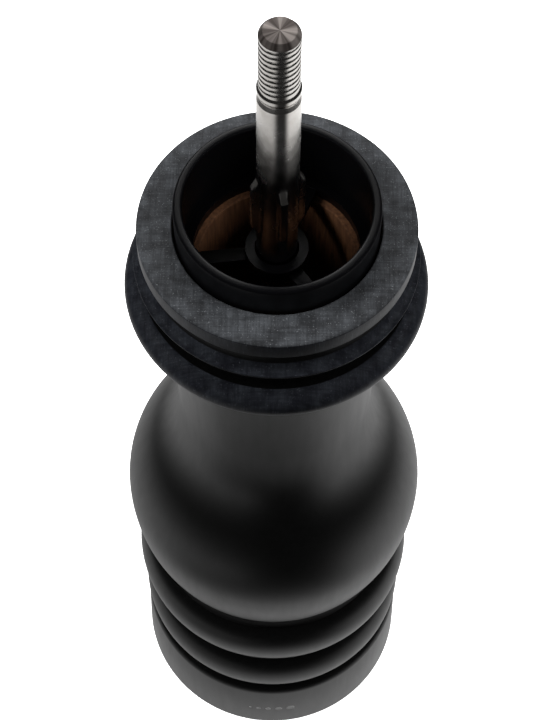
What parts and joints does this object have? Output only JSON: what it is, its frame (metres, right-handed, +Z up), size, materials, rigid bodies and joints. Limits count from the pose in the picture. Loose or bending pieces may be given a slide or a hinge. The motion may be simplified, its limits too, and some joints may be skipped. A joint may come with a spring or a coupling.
{
  "type": "pepper mill",
  "caption": "Turned black wooden pepper mill, head lifted off, with threaded drive shaft, black mouth collar, toothed burrs and a turning setting ring at the foot.",
  "frame": {"origin": "centre of the foot, on the surface that the mill stands on", "axes": "+Z up along the drive shaft, -Y towards the front"},
  "size_m": [0.0612, 0.0612, 0.2216],
  "materials": {
    "black_wood": "satin black paint on turned beech",
    "black_plastic": "moulded, satin",
    "bright_steel": "turned and polished",
    "hard_steel": "case hardened, dark grey",
    "cast_metal": "die cast, matte",
    "bronze": "sintered bronze"
  },
  "bodies": {
    "mill": {"body": "black_wood", "collar_bush": "black_plastic", "shaft_guide": "black_plastic", "shaft_bridge": "cast_metal", "bridge_bush": "bronze", "burr_housing": "cast_metal", "outer_burr": "hard_steel", "housing_screw_1": "bright_steel", "housing_screw_2": "bright_steel", "housing_screw_3": "bright_steel", "ring_retainer": "cast_metal", "retainer_screw_1": "bright_steel", "retainer_screw_2": "bright_steel", "retainer_screw_3": "bright_steel", "return_spring": "bright_steel"},
    "setting_ring": {"adjust_ring": "black_wood"},
    "carrier": {"adjust_carrier": "cast_metal"},
    "rotor": {"drive_shaft": "bright_steel", "inner_burr": "hard_steel", "thrust_washer": "bronze", "retaining_clip": "hard_steel", "spring_washer": "bright_steel"}
  },
  "joints": [
    {"name": "setting_ring_turn", "type": "hinge", "parent": "mill", "child": "setting_ring", "pos_m": [0, 0, 0.01], "axis": [0, 0, 1], "range_deg": [0, 90]},
    {"name": "carrier_lift", "type": "slide", "parent": "mill", "child": "carrier", "axis": [0, 0, 1], "range_m": [0, 0.0012], "deforming": ["return_spring"]},
    {"name": "shaft_turn", "type": "hinge", "parent": "carrier", "child": "rotor", "pos_m": [0, 0, 0.01], "axis": [0, 0, 1], "continuous": true}
  ],
  "couplings": [
    {"joint": "setting_ring_turn", "follows": "carrier_lift", "rad_per_m": 1309}
  ]
}
